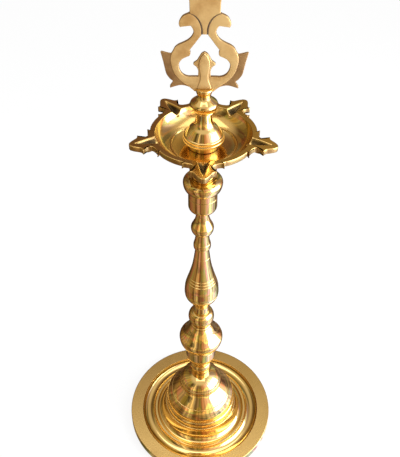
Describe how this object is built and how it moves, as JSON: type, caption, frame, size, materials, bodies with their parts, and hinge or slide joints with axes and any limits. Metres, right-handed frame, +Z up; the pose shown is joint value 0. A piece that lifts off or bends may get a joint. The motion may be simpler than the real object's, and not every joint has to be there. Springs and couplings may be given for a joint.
{
  "type": "standing oil lamp",
  "caption": "Tall standing brass oil lamp on a round dished base, with a turned stem, an oil bowl with wick spouts and a scrolled crest.",
  "frame": {"origin": "on the floor under the lamp's axis", "axes": "+Z up the stem, -Y towards the front spout, +X to the right of the crest's face"},
  "size_m": [0.2766, 0.2766, 0.9136],
  "materials": {
    "polished_brass": "polished",
    "brushed_brass": "satin",
    "sanded_brass": "matte",
    "stud_brass": "machined",
    "fixing_steel": "zinc plated"
  },
  "bodies": {
    "base": {"base_tray": "brushed_brass", "base_dome": "polished_brass", "pedestal": "polished_brass", "pedestal_stud": "fixing_steel", "pedestal_washer": "fixing_steel", "pedestal_nut": "fixing_steel"},
    "stem_thread": {"stem_stud": "stud_brass"},
    "stem": {"stem": "polished_brass"},
    "bowl_thread": {"bowl_stud": "stud_brass"},
    "bowl": {"bowl_knop": "polished_brass", "oil_bowl": "brushed_brass"},
    "spindle_thread": {"spindle_stud": "stud_brass"},
    "spindle": {"spindle": "polished_brass"},
    "crest_thread": {"crest_stud": "stud_brass"},
    "crest": {"crest_ferrule": "polished_brass", "crest": "sanded_brass"}
  },
  "joints": [
    {"name": "stem_rise", "type": "slide", "parent": "base", "child": "stem_thread", "axis": [0, 0, 1], "range_m": [0, 0.01252]},
    {"name": "stem_turn", "type": "hinge", "parent": "stem_thread", "child": "stem", "pos_m": [0, 0, 0.2156], "axis": [0, 0, 1], "range_deg": [0, 1800]},
    {"name": "bowl_rise", "type": "slide", "parent": "stem", "child": "bowl_thread", "axis": [0, 0, 1], "range_m": [0, 0.01252]},
    {"name": "bowl_turn", "type": "hinge", "parent": "bowl_thread", "child": "bowl", "pos_m": [0, 0, 0.5669], "axis": [0, 0, 1], "range_deg": [0, 1800]},
    {"name": "spindle_rise", "type": "slide", "parent": "bowl", "child": "spindle_thread", "axis": [0, 0, 1], "range_m": [0, 0.01252]},
    {"name": "spindle_turn", "type": "hinge", "parent": "spindle_thread", "child": "spindle", "pos_m": [0, 0, 0.6535], "axis": [0, 0, 1], "range_deg": [0, 1800]},
    {"name": "crest_rise", "type": "slide", "parent": "spindle", "child": "crest_thread", "axis": [0, 0, 1], "range_m": [0, 0.01252]},
    {"name": "crest_turn", "type": "hinge", "parent": "crest_thread", "child": "crest", "pos_m": [0, 0, 0.7293], "axis": [0, 0, 1], "range_deg": [0, 1800]}
  ],
  "couplings": [
    {"joint": "stem_rise", "follows": "stem_turn", "m_per_rad": 0.00039789},
    {"joint": "bowl_rise", "follows": "bowl_turn", "m_per_rad": 0.00039789},
    {"joint": "spindle_rise", "follows": "spindle_turn", "m_per_rad": 0.00039789},
    {"joint": "crest_rise", "follows": "crest_turn", "m_per_rad": 0.00039789}
  ]
}
